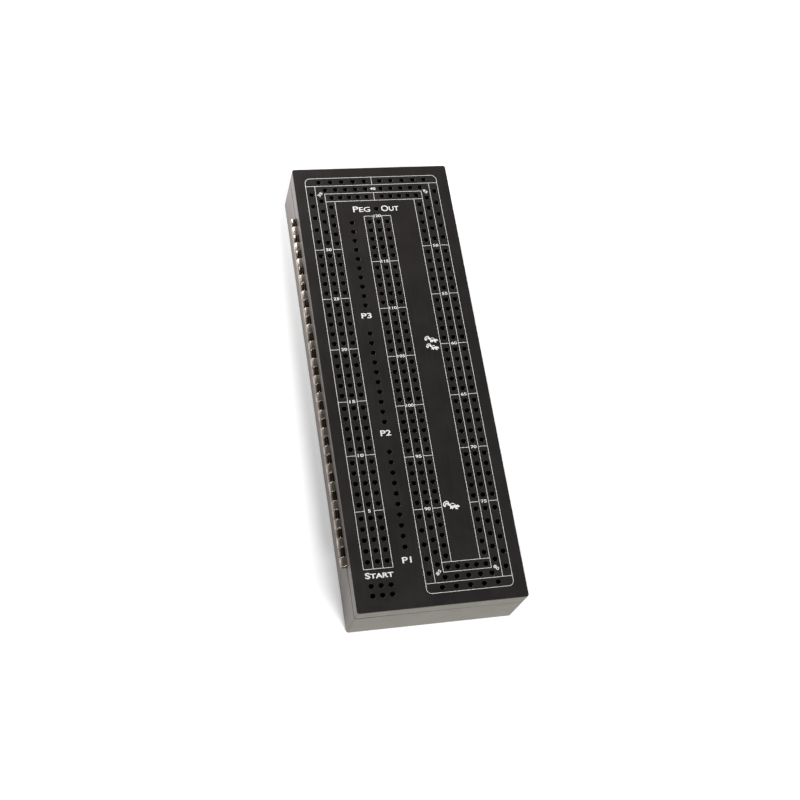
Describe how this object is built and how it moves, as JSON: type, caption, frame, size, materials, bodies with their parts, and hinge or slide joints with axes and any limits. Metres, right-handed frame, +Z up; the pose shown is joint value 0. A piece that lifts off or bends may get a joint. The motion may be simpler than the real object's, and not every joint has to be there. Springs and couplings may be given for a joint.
{
  "type": "cribbage board box",
  "caption": "Long low wooden box with a drilled cribbage board as its lid, which turns on a piano hinge along one long side; card wells and a peg block inside.",
  "frame": {"origin": "middle of the underside, on the floor panel", "axes": "+Z up; +Y along the box from the start holes to the peg-out end; the hinge is on the -X side"},
  "size_m": [0.1078, 0.3, 0.042],
  "materials": {
    "board_lacquer": "satin black lacquer, white screen-printed lines",
    "case_lacquer": "satin black lacquer",
    "felt": "short dark grey felt",
    "hinge_metal": "nickel-plated steel",
    "magnet": "plated",
    "peg_red": "gloss",
    "peg_white": "gloss",
    "peg_blue": "gloss"
  },
  "bodies": {
    "base": {"base_wall_front": "case_lacquer", "base_wall_back": "case_lacquer", "base_wall_hinge_side": "case_lacquer", "base_wall_free_side": "case_lacquer", "base_floor": "case_lacquer", "well_divider_front": "case_lacquer", "well_divider_back": "case_lacquer", "well_lining_front": "felt", "well_lining_back": "felt", "peg_block": "case_lacquer", "pegs_red": "peg_red", "pegs_white": "peg_white", "pegs_blue": "peg_blue", "closing_magnets_base": "magnet", "hinge_leaf_base": "hinge_metal", "hinge_screws_base": "hinge_metal", "hinge_pin": "hinge_metal"},
    "lid": {"lid_board": "board_lacquer", "closing_magnets_lid": "magnet", "hinge_leaf_lid": "hinge_metal", "hinge_screws_lid": "hinge_metal"}
  },
  "joints": [
    {"name": "lid_hinge", "type": "hinge", "parent": "base", "child": "lid", "pos_m": [-0.0534, 0, 0.031], "axis": [0, -1, 0], "range_deg": [0, 180]}
  ]
}
